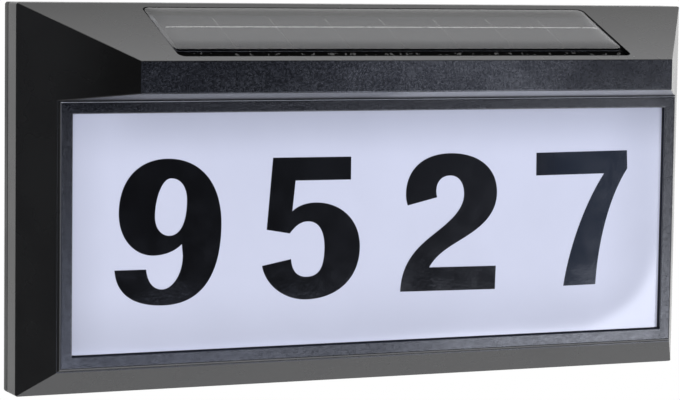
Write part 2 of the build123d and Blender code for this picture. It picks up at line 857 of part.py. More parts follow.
with BuildPart() as holder_screws:
    with BuildSketch(front_plane(cover_depth - holder_screw_reach, bay_height, bay_x)):
        with Locations(holder_screw_spots):
            Circle(holder_screw_radius)
    extrude(amount=holder_screw_reach + holder_gap + holder_wall)
    with BuildSketch(front_plane(holder_depth + holder_wall, bay_height, bay_x)):
        with Locations(holder_screw_spots):
            Circle(tray_head_radius)
    extrude(amount=tray_head_height)
finish(holder_screws, "holder_screws")

plus_end = bay_x + holder_inner_length / 2 - contact_thickness
can_end = plus_end - button_height
can_start = can_end - (battery_length - button_height)
minus_end = bay_x - holder_inner_length / 2 + contact_thickness

with BuildPart() as battery_cell:
    with BuildSketch(side_plane(can_start, cell_depth, bay_height)):
        Circle(cell_radius)
    extrude(amount=battery_length - button_height)
    fillet(battery_cell.edges().filter_by(GeomType.CIRCLE), button_height / 2)
    with BuildSketch(side_plane(can_end, cell_depth, bay_height)):
        Circle(button_radius)
    extrude(amount=button_height)
finish(battery_cell, "battery_cell")

with BuildPart() as contact_plate:
    with BuildSketch(side_plane(plus_end, cell_depth, bay_height)):
        Rectangle(contact_size, contact_size)
    extrude(amount=contact_thickness)
finish(contact_plate, "contact_plate")

spring_space = can_start - minus_end
with BuildPart() as contact_spring:
    with BuildSketch(side_plane(minus_end - contact_thickness, cell_depth, bay_height)):
        Rectangle(contact_size, contact_size)
    extrude(amount=contact_thickness)
    with BuildLine() as spring_path:
        Helix(
            pitch=(spring_space - spring_wire) / spring_turns,
            height=spring_space - spring_wire,
            radius=spring_radius,
            center=(minus_end, -cell_depth, bay_height),
            direction=(1, 0, 0),
        )
    with BuildSketch(Plane(origin=spring_path.line @ 0, z_dir=spring_path.line % 0)):
        Circle(spring_wire)
    sweep(path=spring_path.line, is_frenet=True)
finish(contact_spring, "contact_spring")

with BuildPart() as battery_door:
    with BuildSketch(front_plane(door_sink, bay_height, bay_x)):
        RectangleRounded(door_length - 2 * door_gap, door_height - 2 * door_gap, door_corner - door_gap)
    extrude(amount=door_thickness)
    with BuildSketch(front_plane(door_sink, bay_height, bay_x)):
        with Locations(door_screw_spots):
            Circle(door_screw_radius + screw_clearance)
    extrude(amount=door_thickness, mode=Mode.SUBTRACT)
    with BuildSketch(front_plane(door_sink, bay_height, bay_x)):
        with Locations(door_screw_spots):
            Circle(door_head_radius + screw_clearance)
    extrude(amount=door_head_height, mode=Mode.SUBTRACT)
finish(battery_door, "battery_door")

with BuildPart() as door_seal:
    with BuildSketch(front_plane(seal_line, bay_height, bay_x)):
        Rectangle(bay_opening_length + 2 * door_seal_width, bay_opening_height + 2 * door_seal_width)
        Rectangle(bay_opening_length, bay_opening_height, mode=Mode.SUBTRACT)
    extrude(amount=door_seal_thickness - door_seal_play)
finish(door_seal, "door_seal")

with BuildPart() as door_screws:
    with BuildSketch(front_plane(door_sink, bay_height, bay_x)):
        with Locations(door_screw_spots):
            Circle(door_head_radius)
            Rectangle(drive_width, 2 * door_head_radius, mode=Mode.SUBTRACT)
    extrude(amount=drive_depth / 2)
    with BuildSketch(front_plane(door_sink + drive_depth / 2, bay_height, bay_x)):
        with Locations(door_screw_spots):
            Circle(door_head_radius)
    extrude(amount=door_head_height - drive_depth / 2)
    with BuildSketch(front_plane(door_sink + door_head_height, bay_height, bay_x)):
        with Locations(door_screw_spots):
            Circle(door_screw_radius)
    extrude(amount=rebate_depth + door_screw_reach - door_sink - door_head_height)
finish(door_screws, "door_screws")

# ---------------------------------------------------------------- control board and switch
control_front = board_depth + control_thickness
with BuildPart() as control_board:
    with BuildSketch(front_plane(board_depth, board_height, board_x)):
        Rectangle(board_width, board_tall)
        with Locations(post_spots):
            Circle(post_screw_radius + screw_clearance, mode=Mode.SUBTRACT)
    extrude(amount=control_thickness)
finish(control_board, "control_board")

with BuildPart() as board_screws:
    with BuildSketch(front_plane(board_depth - post_screw_reach, board_height, board_x)):
        with Locations(post_spots):
            Circle(post_screw_radius)
    extrude(amount=post_screw_reach + control_thickness)
    with BuildSketch(front_plane(control_front, board_height, board_x)):
        with Locations(post_spots):
            Circle(post_head_radius)
    extrude(amount=post_head_height)
finish(board_screws, "board_screws")

with BuildPart() as board_components:
    for across, up, length, tall, rise in component_boxes:
        with BuildSketch(front_plane(control_front, board_height + up, board_x + across)):
            Rectangle(length, tall)
        extrude(amount=rise)
    for across, up, radius, rise in component_cans:
        with BuildSketch(front_plane(control_front, board_height + up, board_x + across)):
            Circle(radius)
        extrude(amount=rise)
finish(board_components, "board_components")

switch_back = cover_depth + switch_gap
switch_front = board_depth
knob_rest = switch_x - switch_travel / 2
carrier_back = switch_back + switch_wall + switch_play
with BuildPart() as switch_body:
    with BuildSketch(front_plane(switch_back, board_height, switch_x)):
        Rectangle(switch_length, switch_width)
    extrude(amount=switch_front - switch_back)
    with BuildSketch(front_plane(switch_back, board_height, switch_x)):
        Rectangle(knob_length + switch_travel + 2 * switch_play, knob_width + 2 * switch_play)
    extrude(amount=switch_wall, mode=Mode.SUBTRACT)
    with BuildSketch(front_plane(switch_back + switch_wall, board_height, switch_x)):
        Rectangle(
            carrier_length + switch_travel + 2 * switch_play,
            carrier_width + 2 * switch_play,
        )
    extrude(amount=carrier_height + 2 * switch_play, mode=Mode.SUBTRACT)
finish(switch_body, "switch_body")

with BuildPart() as switch_slider:
    with BuildSketch(front_plane(carrier_back, board_height, knob_rest)):
        Rectangle(carrier_length, carrier_width)
    extrude(amount=carrier_height)
    with BuildSketch(front_plane(knob_sink, board_height, knob_rest)):
        Rectangle(knob_length, knob_width)
    extrude(amount=carrier_back - knob_sink)
    fillet(switch_slider.faces().sort_by(Axis.Y)[-1].edges(), knob_round)
finish(switch_slider, "switch_slider")

# ---------------------------------------------------------------- leads inside the body
def lead(points):
    """A round lead along straight runs joined by arcs as large as the runs allow."""
    runs = [(Vector(b) - Vector(a)) for a, b in zip(points, points[1:])]
    turns = [radians(a.get_angle(b)) for a, b in zip(runs, runs[1:])]
    radii = [
        bend_share * min(a.length, b.length) / tan(turn / 2)
        for a, b, turn in zip(runs, runs[1:], turns)
    ]
    print("lead radii", [round(radius, 1) for radius in radii])
    with BuildPart() as tube:
        with BuildLine() as path:
            if radii:
                FilletPolyline(*points, radius=radii)
            else:
                Line(*points)
        with BuildSketch(Plane(origin=points[0], z_dir=runs[0])):
            Circle(lead_radius)
        sweep(path=path.line)
    return tube.part


strip_back = face_height + tray_tall - strip_gap
with BuildPart() as led_leads:
    add(
        lead(
            [
                (light_lead_x, -strip_depth, strip_back),
                (light_lead_x, -strip_depth, board_height - board_tall / 4),
                (light_lead_x, -control_front, board_height - board_tall / 4),
            ]
        )
    )
    add(
        lead(
            [
                (jumper_x, -strip_depth, face_height - strip_face),
                (jumper_x, -strip_depth, face_height + strip_face),
            ]
        )
    )
finish(led_leads, "led_leads")

solar_exit = top_plane.from_local_coords((solar_hole_x, -solar_hole_run, -recess_depth))
solar_turn = top_plane.from_local_coords((solar_hole_x, -solar_hole_run, -recess_depth - solar_drop))
with BuildPart() as solar_lead:
    add(
        lead(
            [
                tuple(solar_exit),
                tuple(solar_turn),
                (solar_hole_x, -control_front, solar_turn.Z),
            ]
        )
    )
finish(solar_lead, "solar_lead")

with BuildPart() as battery_lead:
    add(
        lead(
            [
                (bay_x + holder_inner_length / 2 + holder_wall, -battery_lead_depth, bay_height),
                (battery_lead_x, -battery_lead_depth, bay_height),
                (battery_lead_x, -control_front, bay_height),
            ]
        )
    )
finish(battery_lead, "battery_lead")
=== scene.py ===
import json
from math import atan2, cos, radians, sin

import bmesh
import bpy
from mathutils import Matrix, Vector, noise


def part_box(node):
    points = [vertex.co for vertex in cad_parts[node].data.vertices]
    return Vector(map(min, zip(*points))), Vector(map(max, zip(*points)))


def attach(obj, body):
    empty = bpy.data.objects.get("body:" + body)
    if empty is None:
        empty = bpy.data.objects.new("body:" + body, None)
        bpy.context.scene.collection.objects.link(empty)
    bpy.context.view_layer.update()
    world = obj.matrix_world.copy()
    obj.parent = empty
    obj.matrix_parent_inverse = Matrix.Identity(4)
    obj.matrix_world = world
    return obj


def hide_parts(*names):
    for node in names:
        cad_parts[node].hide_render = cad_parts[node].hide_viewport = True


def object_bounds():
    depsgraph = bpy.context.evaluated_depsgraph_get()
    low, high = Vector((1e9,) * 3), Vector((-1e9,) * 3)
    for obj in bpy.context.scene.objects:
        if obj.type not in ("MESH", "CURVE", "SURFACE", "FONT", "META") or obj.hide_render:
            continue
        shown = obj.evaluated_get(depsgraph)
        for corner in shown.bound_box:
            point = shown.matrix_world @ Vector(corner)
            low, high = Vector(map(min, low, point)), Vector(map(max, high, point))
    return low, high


# The looks of an illuminated house number sign, around its fixed model. Metres: +Z up, +X to
# the right as the sign is read, +Y into the wall, which the back face touches at Y = 0.

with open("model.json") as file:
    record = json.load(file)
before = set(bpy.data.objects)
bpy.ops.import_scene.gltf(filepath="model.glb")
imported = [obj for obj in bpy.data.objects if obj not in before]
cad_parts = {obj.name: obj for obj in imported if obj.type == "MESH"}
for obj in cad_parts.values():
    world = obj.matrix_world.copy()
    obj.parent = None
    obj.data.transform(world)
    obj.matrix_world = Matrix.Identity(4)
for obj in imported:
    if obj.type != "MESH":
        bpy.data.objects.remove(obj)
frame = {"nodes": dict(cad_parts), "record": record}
cad_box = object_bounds()
mm = 0.001

# ---------------------------------------------------------------- camera
# Fitted to the corners of the sign in the photograph, which is 680 pixels wide.
photo_width = 680
focal_length_pixels = 2706.98
sensor_width = 36.0
camera_place = (-0.61269, -1.36129, 0.12692)
camera_azimuth = radians(24.0561)
camera_pitch = radians(-5.0874)
camera_roll = radians(0.7887)
nearest_seen = 0.05
farthest_seen = 50


def make_camera():
    """The photograph's camera: azimuth turns it from +Y towards +X, pitch up, roll clockwise."""
    ahead = Vector(
        (
            sin(camera_azimuth) * cos(camera_pitch),
            cos(camera_azimuth) * cos(camera_pitch),
            sin(camera_pitch),
        )
    )
    right = Vector((cos(camera_azimuth), -sin(camera_azimuth), 0))
    up = right.cross(ahead)
    rolled_right = right * cos(camera_roll) + up * sin(camera_roll)
    rolled_up = up * cos(camera_roll) - right * sin(camera_roll)
    lens = bpy.data.cameras.new("photo_camera")
    lens.sensor_fit = "HORIZONTAL"
    lens.sensor_width = sensor_width
    lens.lens = focal_length_pixels / photo_width * sensor_width
    lens.clip_start = nearest_seen
    lens.clip_end = farthest_seen
    camera = bpy.data.objects.new("photo_camera", lens)
    bpy.context.scene.collection.objects.link(camera)
    turn = Matrix((rolled_right, rolled_up, -ahead)).transposed()
    camera.matrix_world = Matrix.Translation(camera_place) @ turn.to_4x4()
    bpy.context.scene.camera = camera


# ---------------------------------------------------------------- node helpers
def node(tree, kind, inputs=None, **settings):
    """Add a shader node. Inputs are given by name or number, as a value or a socket."""
    made = tree.nodes.new("ShaderNode" + kind)
    for key, value in settings.items():
        setattr(made, key, value)
    for key, value in (inputs or {}).items():
        if isinstance(value, bpy.types.NodeSocket):
            tree.links.new(value, made.inputs[key])
        else:
            made.inputs[key].default_value = value
    return made


def maths(tree, operation, a, b=0.0):
    """One Math node's result."""
    return node(tree, "Math", {0: a, 1: b}, operation=operation).outputs[0]


def product(tree, first, *others):
    """Several values multiplied together."""
    result = first
    for other in others:
        result = maths(tree, "MULTIPLY", result, other)
    return result


def distance(tree, across, along):
    """The length of a step with these two parts at right angles."""
    squares = maths(tree, "ADD", maths(tree, "POWER", across, 2), maths(tree, "POWER", along, 2))
    return maths(tree, "SQRT", squares)


def ramp(tree, value, low, high, at_low, at_high, smooth=True):
    """A value mapped from one range onto another, clamped."""
    kind = "SMOOTHSTEP" if smooth else "LINEAR"
    settings = {0: value, 1: low, 2: high, 3: at_low, 4: at_high}
    return node(tree, "MapRange", settings, interpolation_type=kind).outputs[0]


def split(tree, vector):
    """The X, Y and Z of a vector."""
    return node(tree, "SeparateXYZ", {0: vector}).outputs


def vector_maths(tree, operation, a, b):
    """One Vector Math node's vector."""
    return node(tree, "VectorMath", {0: a, 1: b}, operation=operation).outputs[0]


def scaled(tree, colour, share):
    """A constant colour times a value."""
    return node(tree, "VectorMath", {0: colour, "Scale": share}, operation="SCALE").outputs[0]


def even(tree, level):
    """A grey whose level is a value."""
    return node(tree, "CombineXYZ", {0: level, 1: level, 2: level}).outputs[0]


def blend_colours(tree, share, first, second):
    """A mix of two colours."""
    made = node(tree, "Mix", {0: share, 6: first, 7: second}, data_type="RGBA")
    return made.outputs[2]


def blend_values(tree, share, first, second):
    """A mix of two values."""
    return node(tree, "Mix", {0: share, 2: first, 3: second}).outputs[0]


def blend_normals(tree, share, first, second):
    """A mix of two normals."""
    return node(tree, "Mix", {0: share, 4: first, 5: second}, data_type="VECTOR").outputs[1]


def grain(tree, place, size, detail=2.0, roughness=0.5):
    """Noise with features of a size in metres."""
    settings = {"Vector": place, "Scale": 1 / size, "Detail": detail, "Roughness": roughness}
    return node(tree, "TexNoise", settings).outputs[0]


def bump(tree, height, depth):
    """A normal roughened by a height pattern of a depth in metres."""
    return node(tree, "Bump", {"Strength": 1.0, "Distance": depth, "Height": height}).outputs[0]


def grey(level, tint=(1.0, 1.0, 1.0)):
    """An opaque colour of one level, tinted."""
    return tuple(level * share for share in tint) + (1.0,)


def new_material(name):
    """An empty material, its node tree and the place on the object that its textures follow."""
    made = bpy.data.materials.new(name)
    made.use_nodes = True
    tree = made.node_tree
    tree.nodes.clear()
    return made, tree, node(tree, "TexCoord").outputs["Object"]


def facing_parts(tree):
    """The X, Y and Z of the direction that the surface faces."""
    return split(tree, node(tree, "TexCoord").outputs["Normal"])


def shade_with(tree, settings):
    """Shade the material with one Principled shader."""
    shader = node(tree, "BsdfPrincipled", settings)
    node(tree, "OutputMaterial", {0: shader.outputs[0]})


# ---------------------------------------------------------------- world and floor
# Soft round patches of light around the sign: direction, angle of the full part and of the
# edge in degrees, strength and tint. Each stands for a lamp or a bright part of a white studio.
front_tint = (0.82, 0.90, 1.20)
lamp_tint = (0.95, 0.98, 1.08)
plain_tint = (1.0, 1.0, 1.0)
studio_level = 0.07
studio_patches = [
    ((0.10, 0.93, 0.25), 45, 85, 0.74, plain_tint),
    ((0.10, -0.20, 0.97), 20, 55, 0.90, plain_tint),
    ((0.62, -0.78, -0.02), 5, 18, 0.32, front_tint),
    ((-0.50, -0.85, 0.00), 10, 40, 0.60, front_tint),
    ((0.62, 0.78, -0.05), 10, 25, 0.60, plain_tint),
]
# The lamps that the lower right corner of the face reflects. A dark card with a round corner
# covers the rest of them; its edges are given as sideways and upward slopes of the direction.
lamp_patches = [
    ((0.515, -0.841, -0.165), 3, 8.0, 5.3, lamp_tint),
    ((0.60, -0.70, -0.44), 10, 24, 5.6, lamp_tint),
    ((0.26, -0.86, -0.40), 14, 26, 3.7, front_tint),
]
card_right_edge = 0.5965
card_lower_edge = -0.1545
card_corner = 0.04
card_softness = 0.0025
least_ahead = 0.01


def round_patch(tree, direction, aim, full, edge):
    """How far inside a soft round patch of the world a direction points, from 0 to 1."""
    towards = node(
        tree, "VectorMath", {0: direction, 1: Vector(aim).normalized()}, operation="DOT_PRODUCT"
    ).outputs["Value"]
    return ramp(tree, towards, cos(radians(edge)), cos(radians(full)), 0, 1)


def beside_card(tree, direction):
    """1 where a direction misses the dark card with the round corner, 0 where it meets it."""
    x, y, z = split(tree, direction)
    ahead = maths(tree, "MAXIMUM", maths(tree, "MULTIPLY", y, -1), least_ahead)
    across = maths(tree, "DIVIDE", x, ahead)
    down = maths(tree, "DIVIDE", maths(tree, "MULTIPLY", z, -1), ahead)
    past_right = maths(tree, "SUBTRACT", across, card_right_edge - card_corner)
    past_below = maths(tree, "SUBTRACT", down, -card_lower_edge - card_corner)
    away = distance(
        tree, maths(tree, "MAXIMUM", past_right), maths(tree, "MAXIMUM", past_below)
    )
    return ramp(tree, away, card_corner - card_softness, card_corner + card_softness, 0, 1)


def make_world():
    """White to the camera, and a soft studio to everything else."""
    world = bpy.data.worlds.new("studio")
    bpy.context.scene.world = world
    world.use_nodes = True
    tree = world.node_tree
    tree.nodes.clear()
    direction = node(tree, "TexCoord").outputs["Generated"]
    patches = [
        (round_patch(tree, direction, aim, full, edge), strength, tint)
        for aim, full, edge, strength, tint in studio_patches
    ]
    uncovered = beside_card(tree, direction)
    for aim, full, edge, strength, tint in lamp_patches:
        shown = product(tree, round_patch(tree, direction, aim, full, edge), uncovered)
        patches.append((shown, strength, tint))
    light = even(tree, studio_level)
    for share, strength, tint in patches:
        glow = scaled(tree, [strength * part for part in tint], share)
        light = vector_maths(tree, "ADD", light, glow)
    studio = node(tree, "Background", {"Color": light})
    white = node(tree, "Background", {"Color": grey(1.0)})
    seen = node(tree, "LightPath").outputs["Is Camera Ray"]
    both = node(tree, "MixShader", {0: seen, 1: studio.outputs[0], 2: white.outputs[0]})
    node(tree, "OutputWorld", {0: both.outputs[0]})


floor_height = -0.60
floor_radius = 2.3
floor_fade = 1.0
floor_sides = 96


def make_floor():
    """A round pale floor below the sign that fades out at its edge and hides nothing from below."""
    mesh = bpy.data.meshes.new("floor")
    shape = bmesh.new()
    bmesh.ops.create_circle(shape, cap_ends=True, segments=floor_sides, radius=floor_radius)
    bmesh.ops.translate(shape, verts=shape.verts, vec=(0, 0, floor_height))
    shape.to_mesh(mesh)
    shape.free()
    floor = bpy.data.objects.new("floor", mesh)
    bpy.context.scene.collection.objects.link(floor)
    made, tree, place = new_material("floor_paint")
    x, y, _ = split(tree, place)
    fade = ramp(tree, distance(tree, x, y), floor_fade, floor_radius, 0, 1)
    below = node(tree, "NewGeometry").outputs["Backfacing"]
    clear = maths(tree, "MAXIMUM", fade, below)
    mottle = blend_colours(tree, grain(tree, place, 50 * mm), grey(0.91), grey(0.94))
    paint = node(tree, "BsdfDiffuse", {"Color": mottle})
    gone = node(tree, "BsdfTransparent")
    both = node(tree, "MixShader", {0: clear, 1: paint.outputs[0], 2: gone.outputs[0]})
    node(tree, "OutputMaterial", {0: both.outputs[0]})
    mesh.materials.append(made)


# ---------------------------------------------------------------- plastics
# A pair of lengths tells where a change in the look starts and where it ends. Pairs in X, and
# those of the top and side painted light and of under_front in Y, are places on the sign; the
# others count from an edge. Where a look changes by place along the sign, it was fitted to the one
# photograph. Much of that change is painted light and shade, and the notes below say where it is.
# Words such as worn, rubbed, dusty and faded are guesses at the cause; some of it may be the
# photo's light.
plastic_ior = 1.5
acrylic_ior = 1.49
full_shine = 0.5


def two_grains(tree, main, other):
    """Two patterns added up, the first one a little stronger."""
    return maths(tree, "ADD", product(tree, main, 0.6), product(tree, other, 0.4))


def moulded_plastic(
    name, dark, light, rough_low, rough_high, grain_size, grain_depth, tint=plain_tint
):
    """Moulded plastic: fine grain, faint cloudy shade and patches that are a little less glossy."""
    made, tree, place = new_material(name)
    cloud = grain(tree, place, 35 * mm, 3)
    fine = grain(tree, place, grain_size, 3, 0.65)
    wear = two_grains(tree, cloud, fine)
    cloudy = ramp(tree, cloud, 0.35, 0.65, 0, 1)
    shade_with(
        tree,
        {
            "Base Color": blend_colours(tree, cloudy, grey(dark, tint), grey(light, tint)),
            "Roughness": ramp(tree, wear, 0.35, 0.65, rough_low, rough_high),
            "Normal": bump(tree, fine, grain_depth),
            "IOR": plastic_ior,
        },
    )
    return made


spark_dark = grey(0.001, front_tint)
spark_light = grey(0.016, front_tint)
spark_depth = 0.035 * mm


def spark_texture(tree, place, level):
    """Colour, roughness and normal of a coarse spark-eroded texture. Level sets how pale it is."""
    coarse = grain(tree, place, 1.2 * mm, 3, 0.6)
    fine = grain(tree, place, 0.6 * mm, 2, 0.6)
    pits = two_grains(tree, coarse, fine)
    paleness = product(tree, ramp(tree, pits, 0.36, 0.64, 0.42, 1), level)
    shade = blend_colours(tree, paleness, spark_dark, spark_light)
    rough = ramp(tree, pits, 0.35, 0.65, 0.10, 0.24)
    return shade, rough, bump(tree, pits, spark_depth)


top_painted_light = (-85 * mm, -20 * mm)
side_painted_light = (-80 * mm, -36 * mm)


def smooth_texture(tree, place):
    """Colour, roughness and normal of the housing's smooth black plastic.

    It is painted a little paler towards the front on top and towards the rim on the left side, as
    painted light, and its underside is painted paler with dust and with the light of the glowing face.
    """
    _, y, _ = split(tree, place)
    facing_x, _, facing_z = facing_parts(tree)
    cloud = grain(tree, place, 40 * mm, 3)
    fine = grain(tree, place, 0.3 * mm, 2)
    upward = ramp(tree, facing_z, 0.6, 0.9, 0, 1)
    leftward = ramp(tree, facing_x, -0.9, -0.6, 1, 0)
    # Painted light: the top and the left side are painted paler by place, and the underside paler
    # still
    additions = [
        ramp(tree, facing_z, -0.9, -0.6, 0.04, 0),
        product(tree, upward, ramp(tree, y, *top_painted_light, 0.100, -0.012, smooth=False)),
        product(tree, leftward, ramp(tree, y, *side_painted_light, 0.0, 0.014)),
    ]
    level = ramp(tree, cloud, 0.35, 0.65, 0.0030, 0.0042)
    for addition in additions:
        level = maths(tree, "ADD", level, addition)
    rough = ramp(tree, cloud, 0.3, 0.7, 0.24, 0.30)
    return even(tree, level), rough, bump(tree, fine, 0.004 * mm)


# The bezel: the height of its sill and the width of its border around the opening, how far its
# back spreads beyond its face, and the width of the band along each side. Then the matt line
# along its sill, the painted highlight on its outer corner, and the parts of its sides whose shine
# is painted brighter or dimmer.
bezel_sill = 6.5 * mm
bezel_border = 6.3 * mm
bezel_flare = 1.3 * mm
bezel_band = 8 * mm
band_edge = 1 * mm
sill_line_below = (-0.65 * mm, -0.45 * mm)
sill_line_above = (0.5 * mm, 1 * mm)
sill_line_end = 0.3 * mm
outer_corner = (0.3 * mm, 0.9 * mm)
corner_highlight_end = (-180.5 * mm, -176.5 * mm)
top_shaded_end = (-160 * mm, -110 * mm)
top_left_end = (-170 * mm, -110 * mm)
foot_left_part = (-90 * mm, -20 * mm)
foot_right_part = (0, 55 * mm)
scuff_stretch = (0.6, 1, 1)


def bezel_sheen_and_scuffs(tree, place, low, high):
    """How much the bezel's face shines: its shine is painted brighter or dimmer along each side and
    painted dim as shade at the top left, and fine scuffs break it up.
    """
    x, _, z = split(tree, place)
    scuffs = grain(tree, vector_maths(tree, "MULTIPLY", place, scuff_stretch), 1.5 * mm, 2, 0.7)
    top_start = high.z - bezel_band
    foot_end = low.z + bezel_band
    shaded_end = product(
        tree,
        ramp(tree, x, *top_shaded_end, 1, 0),
        ramp(tree, z, top_start, high.z - band_edge, 0, 0.45),
    )
    in_top_band = ramp(tree, z, top_start, top_start + band_edge, 0, 1)
    in_foot_band = ramp(tree, z, foot_end, foot_end + band_edge, 1, 0)
    along_top = ramp(tree, x, *top_left_end, 0.92, 1.0)
    along_foot = product(
        tree,
        ramp(tree, x, *foot_left_part, 1, 0.72),
        ramp(tree, x, *foot_right_part, 1, 1.39),
    )
    return product(
        tree,
        ramp(tree, scuffs, 0.36, 0.64, 0.38, 0.62, smooth=False),
        maths(tree, "SUBTRACT", 1.0, shaded_end),
        ramp(tree, x, low.x + bezel_band, low.x + 2 * bezel_band, 1.18, 1),
        ramp(tree, x, high.x - 2 * bezel_band, high.x - bezel_band, 1, 0.76),
        blend_values(tree, in_top_band, 1.0, along_top),
        blend_values(tree, in_foot_band, 1.0, along_foot),
    )


def bezel_plastic():
    """Black plastic: spark-eroded in front, smooth on its bevelled sides, matt in its opening, with a
    painted highlight on its outer corner and painted shine that varies by place.
    """
    made, tree, place = new_material("bezel_plastic")
    x, y, z = split(tree, place)
    _, facing_y, facing_z = facing_parts(tree)
    shade, rough, normal = spark_texture(tree, place, 0.6)
    side_shade, side_rough, side_normal = smooth_texture(tree, place)
    front = ramp(tree, facing_y, -0.85, -0.62, 1, 0)
    low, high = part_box("bezel_frame")
    # The walls of the opening are matt, and so is a line along the edge of its sill
    sill = low.z + bezel_flare + bezel_sill
    opening_half = high.x - bezel_flare - bezel_border
    from_middle = maths(tree, "ABSOLUTE", x)
    sill_line = product(
        tree,
        ramp(tree, z, sill + sill_line_below[0], sill + sill_line_below[1], 0, 1),
        ramp(tree, z, sill + sill_line_above[0], sill + sill_line_above[1], 1, 0),
        ramp(tree, from_middle, opening_half, opening_half + sill_line_end, 1, 0),
    )
    inner = maths(tree, "MAXIMUM", ramp(tree, facing_y, -0.40, -0.10, 0, 1), sill_line)
    # The outer corner is painted pale as a highlight, brightest along the top and at its left end
    at_corner = ramp(tree, y, low.y + outer_corner[0], low.y + outer_corner[1], 1, 0)
    painted_highlight = product(tree, ramp(tree, facing_y, -0.97, -0.75, 0, 1), at_corner)
    painted_top_level = ramp(tree, x, *corner_highlight_end, 1.0, 0.75)
    highlight_level = ramp(tree, facing_z, 0.1, 0.6, 0.16, painted_top_level)
    outside = blend_colours(tree, front, side_shade, shade)
    outside = blend_colours(tree, painted_highlight, outside, even(tree, highlight_level))
    shine = blend_values(tree, front, full_shine, bezel_sheen_and_scuffs(tree, place, low, high))
    shade_with(
        tree,
        {
            "Base Color": blend_colours(tree, inner, outside, grey(0.035, front_tint)),
            "Roughness": blend_values(tree, front, side_rough, rough),
            "Specular IOR Level": blend_values(tree, inner, shine, 0.0),
            "Normal": blend_normals(tree, front, side_normal, normal),
            "IOR": plastic_ior,
        },
    )
    return made


# The hood: how far back its front strip's texture goes, the left and right parts of the strip,
# and where the dust and painted glow on its underside change at the left end, behind the front
# and at the middle.
strip_edge = (0.1 * mm, 0.3 * mm)
strip_left_part = (-100 * mm, 20 * mm)
strip_right_part = (45 * mm, 115 * mm)
under_left_end = (-180 * mm, -130 * mm)
under_front = (-60 * mm, -45 * mm)
under_middle = (-15 * mm, 10 * mm)
under_glow_tint = (0.97, 0.985, 1.05)
under_roughness = 0.55


def housing_plastic():
    """Semi-gloss black plastic, with a spark-eroded texture on the hood's front strip."""
    made, tree, place = new_material("housing_plastic")
    strip_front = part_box("front_housing")[0].y
    x, y, _ = split(tree, place)
    _, _, facing_z = facing_parts(tree)
    on_strip = ramp(
        tree, y, strip_front + strip_edge[0], strip_front + strip_edge[1], 1, 0, smooth=False
    )
    # The strip is painted darker, with its shine painted duller, towards both of its ends: painted
    # shade
    rightward = ramp(tree, x, *strip_right_part, 1, 0.45)
    paleness = product(tree, ramp(tree, x, *strip_left_part, 0.25, 1), rightward, 1.25)
    paleness = maths(tree, "ADD", 0.35, paleness)
    spark_shade, spark_rough, spark_normal = spark_texture(tree, place, paleness)
    cloud = grain(tree, place, 22 * mm, 3, 0.6)
    speckle = grain(tree, place, 1.1 * mm, 3, 0.75)
    strip_shine = product(
        tree,
        ramp(tree, x, *strip_left_part, 0.32, 0.64),
        rightward,
        ramp(tree, cloud, 0.35, 0.65, 0.80, 1.20),
        ramp(tree, speckle, 0.36, 0.64, 0.62, 1.42, smooth=False),
    )
    # Faces that look down are matt, and painted paler and lavender with dust and with the light of
    # the glowing face
    smooth_shade, smooth_rough, smooth_normal = smooth_texture(tree, place)
    downward = ramp(tree, facing_z, -0.98, -0.90, 1, 0)
    dust_and_light = product(
        tree,
        ramp(tree, x, *under_left_end, 0.06, 0.22),
        ramp(tree, y, *under_front, 1, 0.3),
        ramp(tree, x, *under_middle, 0.82, 1.55),
    )
    dust_and_light_shade = blend_colours(tree, downward, smooth_shade, scaled(tree, under_glow_tint, dust_and_light))
    downward_rough = blend_values(tree, downward, smooth_rough, under_roughness)
    shade_with(
        tree,
        {
            "Base Color": blend_colours(tree, on_strip, dust_and_light_shade, spark_shade),
            "Roughness": blend_values(tree, on_strip, downward_rough, spark_rough),
            "Specular IOR Level": blend_values(tree, on_strip, full_shine, strip_shine),
            "Normal": blend_normals(tree, on_strip, smooth_normal, spark_normal),
            "IOR": plastic_ior,
        },
    )
    return made


# The face: its glow fades towards the edges of the opening, partly its own backlight and partly
# painted shade, most of all under the hood, where it is the hood's painted shade. Near its right
# and bottom edges the glow is painted brighter. The bezel's sill covers the lowest part of it, as
# high as panel_grip.
glow_tint = (0.89, 0.92, 1.14)
glow_strength = 0.405
face_tint = (0.92, 0.95, 1.07)
side_fade = 26 * mm
right_fade = 45 * mm
edge_light_rise = 6 * mm
hood_shade_fade = 30 * mm
bottom_fade = 40 * mm
panel_grip = 2.0 * mm
seam_edge = (0.05 * mm, 0.40 * mm)


